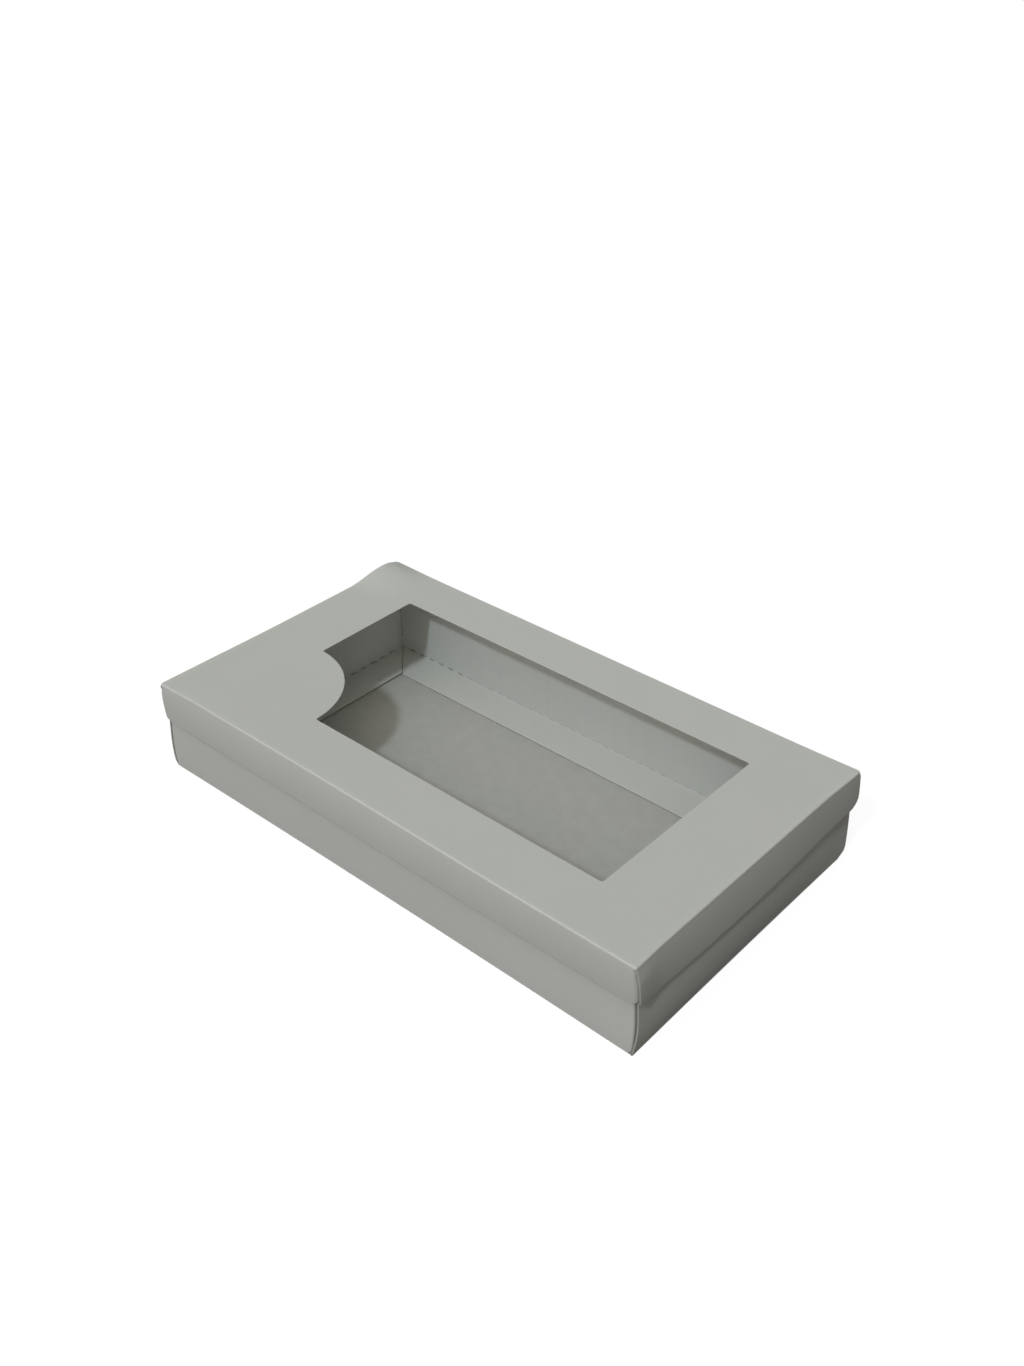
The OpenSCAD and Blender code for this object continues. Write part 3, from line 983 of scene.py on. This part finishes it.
def card_material(name):
    """Matt grey board: the outer face, the same face inside the tray in a darker and cooler colour that is
    painted shade, the uncoated reverse, or the raw edge, which is darker and warmer, with strong flecks and a
    coarse tooth. Made at its first use."""
    if name in bpy.data.materials:
        return bpy.data.materials[name]
    colour = getattr(bpy.context.scene.box_colours, name)
    material = bpy.data.materials.new(name)
    material.use_nodes = True
    tree = material.node_tree
    vector = tree.nodes.new("ShaderNodeTexCoord").outputs["Object"]
    tone = place_group(tree, card_tone_group(), Vector=vector, Colour=(*colour, 1.0),
                       **dict(zip(TONE_NAMES, CARD_TONES[name])))
    shown, roughness, look = tone["Colour"], CUT_ROUGHNESS, CUT_TOOTH
    if name in CARD_WEAR:
        crease, cut = CARD_WEAR[name]
        wear = place_group(tree, edge_wear_group(), Vector=vector, Crease=attribute(tree, "crease"),
                           Cut=attribute(tree, "cut"), Crease_Strength=crease, Cut_Strength=cut)
        rubbed = (*(min(1.0, RUBBED * channel) for channel in colour), 1.0)
        shown = mix_colours(tree, wear["Mask"], shown, rubbed)
        roughness = math_node(tree, "MULTIPLY_ADD", tone["Tone"], *CARD_ROUGHNESS)
        look = CARD_TOOTH
    fibre_share, strength, distance = look
    tooth = place_group(tree, card_tooth_group(), Vector=vector, Fibre_Share=fibre_share)
    bump = tree.nodes.new("ShaderNodeBump")
    shader = tree.nodes["Principled BSDF"].inputs
    for value, socket in (
            (strength, bump.inputs["Strength"]),
            (distance, bump.inputs["Distance"]),
            (tooth["Height"], bump.inputs["Height"]),
            (bump.outputs[0], shader["Normal"]),
            (shown, shader["Base Color"]),
            (roughness, shader["Roughness"]),
            (SPECULAR, shader["Specular IOR Level"])):
        plug(tree, value, socket)
    return material


class CHOCOLATEBOX_OT_lid_top(bpy.types.Operator):
    """Make the lid's top panel with its window and quarter disc"""

    bl_idname = "chocolate_box.lid_top"
    bl_label = "Lid Top"

    def execute(self, context):
        build_lid_top()
        return {"FINISHED"}


class CHOCOLATEBOX_OT_lid_skirts(bpy.types.Operator):
    """Make the lid's four skirts"""

    bl_idname = "chocolate_box.lid_skirts"
    bl_label = "Lid Skirts"

    def execute(self, context):
        for side in LONG_SIDES:
            build_long_skirt(side)
        for side, edges in END_SKIRT_EDGES.items():
            build_end_skirt(side, *edges)
        return {"FINISHED"}


class CHOCOLATEBOX_OT_lid_tabs(bpy.types.Operator):
    """Make the lid's four glue tabs"""

    bl_idname = "chocolate_box.lid_tabs"
    bl_label = "Lid Tabs"

    def execute(self, context):
        for corner in CORNERS:
            build_lid_tab(*corner)
        return {"FINISHED"}


class CHOCOLATEBOX_OT_tray_floor(bpy.types.Operator):
    """Finish the tray's floor panel, which keeps its solid, with the reverse side of the board on top"""

    bl_idname = "chocolate_box.tray_floor"
    bl_label = "Tray Floor"

    def execute(self, context):
        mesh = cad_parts["tray_floor"].data
        mesh.materials.clear()
        mesh.materials.append(card_material("outer_board"))
        mesh.materials.append(card_material("reverse_board"))
        normals = np.zeros(3 * len(mesh.polygons), np.float32)
        mesh.polygons.foreach_get("normal", normals)
        mesh.polygons.foreach_set("material_index", (normals[2::3] > 0.5).astype(np.int32))
        return {"FINISHED"}


class CHOCOLATEBOX_OT_tray_walls(bpy.types.Operator):
    """Make the tray's four outer walls"""

    bl_idname = "chocolate_box.tray_walls"
    bl_label = "Tray Outer Walls"

    def execute(self, context):
        for side in LONG_SIDES:
            build_long_wall(side)
        for side, edges in END_WALL_EDGES.items():
            build_end_wall(side, *edges)
        return {"FINISHED"}


class CHOCOLATEBOX_OT_tray_rims(bpy.types.Operator):
    """Make the tray's four rim strips"""

    bl_idname = "chocolate_box.tray_rims"
    bl_label = "Tray Rims"

    def execute(self, context):
        for side in SIDES:
            build_rim(side)
        return {"FINISHED"}


class CHOCOLATEBOX_OT_inner_walls(bpy.types.Operator):
    """Make the tray's four inner walls with their perforated creases"""

    bl_idname = "chocolate_box.inner_walls"
    bl_label = "Tray Inner Walls"

    def execute(self, context):
        for side in SIDES:
            build_inner_wall(side)
        return {"FINISHED"}


class CHOCOLATEBOX_OT_tray_tabs(bpy.types.Operator):
    """Make the tray's four glue tabs"""

    bl_idname = "chocolate_box.tray_tabs"
    bl_label = "Tray Tabs"

    def execute(self, context):
        for corner in CORNERS:
            build_tray_tab(*corner)
        return {"FINISHED"}


class CHOCOLATEBOX_OT_floor_flaps(bpy.types.Operator):
    """Make the four floor flaps"""

    bl_idname = "chocolate_box.floor_flaps"
    bl_label = "Floor Flaps"

    def execute(self, context):
        for side in SIDES:
            build_flap(side)
        return {"FINISHED"}


def build_camera():
    """Camera at the photograph's place, looking the way that it looked."""
    data = bpy.data.cameras.new("photo_camera")
    data.sensor_width = SENSOR
    data.lens = FOCAL_PIXELS * SENSOR / max(IMAGE_SIZE)
    data.clip_start, data.clip_end = CLIP_RANGE
    camera = add_object("photo_camera", data)
    axes = Matrix((CAMERA_RIGHT, CAMERA_UP, -Vector(CAMERA_AHEAD))).transposed().to_4x4()
    camera.matrix_world = Matrix.Translation(CAMERA_PLACE) @ axes
    bpy.context.scene.camera = camera


def build_key():
    """Key light: a sun that travels from the front down to the back."""
    data = bpy.data.lights.new("key", "SUN")
    data.energy = KEY_STRENGTH
    data.color = KEY_COLOUR
    data.angle = math.radians(KEY_ANGLE)
    key = add_object("key", data)
    key.rotation_mode = "QUATERNION"
    key.rotation_quaternion = Vector(KEY_TRAVEL).to_track_quat("-Z", "Y")


def seen_directly(tree):
    """1 for camera, glossy and transmission rays, which see the white studio, and 0 for the others."""
    path = tree.nodes.new("ShaderNodeLightPath")
    seen = math_node(tree, "MAXIMUM", path.outputs["Is Camera Ray"], path.outputs["Is Glossy Ray"])
    return math_node(tree, "MAXIMUM", seen, path.outputs["Is Transmission Ray"])


def build_sky():
    """World: white to the eye, and for light a sky above the horizon whose colour is the sum of a share
    that grows with the fourth power of the height and one that grows towards the front."""
    world = bpy.data.worlds.new("studio")
    world.use_nodes = True
    tree = world.node_tree
    split = tree.nodes.new("ShaderNodeSeparateXYZ")
    plug(tree, tree.nodes.new("ShaderNodeTexCoord").outputs["Generated"], split.inputs[0])
    height = split.outputs["Z"]
    above = math_node(tree, "GREATER_THAN", height, 0.0)
    shares = {
        "zenith": math_node(tree, "POWER", math_node(tree, "MAXIMUM", height, 0.0), 4.0),
        "front": math_node(tree, "MULTIPLY", split.outputs["Y"], -1.0),
    }
    light = BLACK
    for name, share in shares.items():
        share = math_node(tree, "MULTIPLY", math_node(tree, "MAXIMUM", share, 0.0), above)
        coloured = mix_colours(tree, share, BLACK, (*SKY[name], 1.0))
        light = mix_colours(tree, 1.0, light, coloured, "ADD")
    shown = mix_colours(tree, seen_directly(tree), light, WHITE)
    plug(tree, shown, tree.nodes["Background"].inputs["Color"])
    bpy.context.scene.world = world


def floor_material():
    """Floor: white with a faint kept shadow to the eye, and a dull table for the light it throws back."""
    material = bpy.data.materials.new("floor")
    material.use_nodes = True
    tree = material.node_tree
    tree.nodes.clear()
    result = tree.nodes.new("ShaderNodeOutputMaterial")
    table = tree.nodes.new("ShaderNodeBsdfDiffuse")
    glow = tree.nodes.new("ShaderNodeEmission")
    shade = tree.nodes.new("ShaderNodeBsdfDiffuse")
    white = tree.nodes.new("ShaderNodeAddShader")
    mixed = tree.nodes.new("ShaderNodeMixShader")
    for value, socket in (
            ((*bpy.context.scene.box_colours.table, 1.0), table.inputs["Color"]),
            (FLOOR_GLOW, glow.inputs["Strength"]),
            (FLOOR_KEPT_SHADE, shade.inputs["Color"]),
            (glow.outputs[0], white.inputs[0]),
            (shade.outputs[0], white.inputs[1]),
            (seen_directly(tree), mixed.inputs[0]),
            (table.outputs[0], mixed.inputs[1]),
            (white.outputs[0], mixed.inputs[2]),
            (mixed.outputs[0], result.inputs["Surface"])):
        plug(tree, value, socket)
    return material


def build_floor():
    """Plain pale floor just under the box."""
    half = FLOOR_HALF
    corners = [(-half, -half, 0), (half, -half, 0), (half, half, 0), (-half, half, 0)]
    mesh = bpy.data.meshes.new("floor")
    mesh.from_pydata(corners, [], [(0, 1, 2, 3)])
    mesh.materials.append(floor_material())
    floor = add_object("floor", mesh)
    floor.location.z = -FLOOR_DROP * MM


class CHOCOLATEBOX_OT_stage(bpy.types.Operator):
    """Make the camera, the key light, the sky and the floor"""

    bl_idname = "chocolate_box.stage"
    bl_label = "Stage"

    def execute(self, context):
        build_camera()
        build_key()
        build_sky()
        build_floor()
        context.scene.view_settings.view_transform = "Standard"
        return {"FINISHED"}


class CHOCOLATEBOX_PT_panel(bpy.types.Panel):
    """Buttons for every piece of the box, and its sizes and colours"""

    bl_label = "Chocolate Box"
    bl_idname = "CHOCOLATEBOX_PT_panel"
    bl_space_type = "VIEW_3D"
    bl_region_type = "UI"
    bl_category = "Chocolate Box"

    def draw(self, context):
        for step in STEPS:
            self.layout.operator(f"chocolate_box.{step}")
        for group in (context.scene.box_sizes, context.scene.box_colours):
            for name in group.bl_rna.properties.keys():
                if name not in ("rna_type", "name"):
                    self.layout.prop(group, name)


CLASSES = (
    ChocolateBoxSizes, ChocolateBoxColours,
    CHOCOLATEBOX_OT_stage, CHOCOLATEBOX_OT_lid_top, CHOCOLATEBOX_OT_lid_skirts, CHOCOLATEBOX_OT_lid_tabs,
    CHOCOLATEBOX_OT_tray_floor, CHOCOLATEBOX_OT_tray_walls, CHOCOLATEBOX_OT_tray_rims,
    CHOCOLATEBOX_OT_inner_walls, CHOCOLATEBOX_OT_tray_tabs, CHOCOLATEBOX_OT_floor_flaps,
    CHOCOLATEBOX_PT_panel,
)


def register():
    """Registers the classes and puts the sizes and colours on the scene."""
    for cls in CLASSES:
        bpy.utils.register_class(cls)
    bpy.types.Scene.box_sizes = PointerProperty(type=ChocolateBoxSizes)
    bpy.types.Scene.box_colours = PointerProperty(type=ChocolateBoxColours)


def unregister():
    """Takes the sizes and colours off the scene and unregisters the classes."""
    del bpy.types.Scene.box_colours
    del bpy.types.Scene.box_sizes
    for cls in reversed(CLASSES):
        bpy.utils.unregister_class(cls)


def main():
    """Makes the stage and every piece in order."""
    register()
    for step in STEPS:
        getattr(bpy.ops.chocolate_box, step)()


if __name__ == "__main__":
    main()
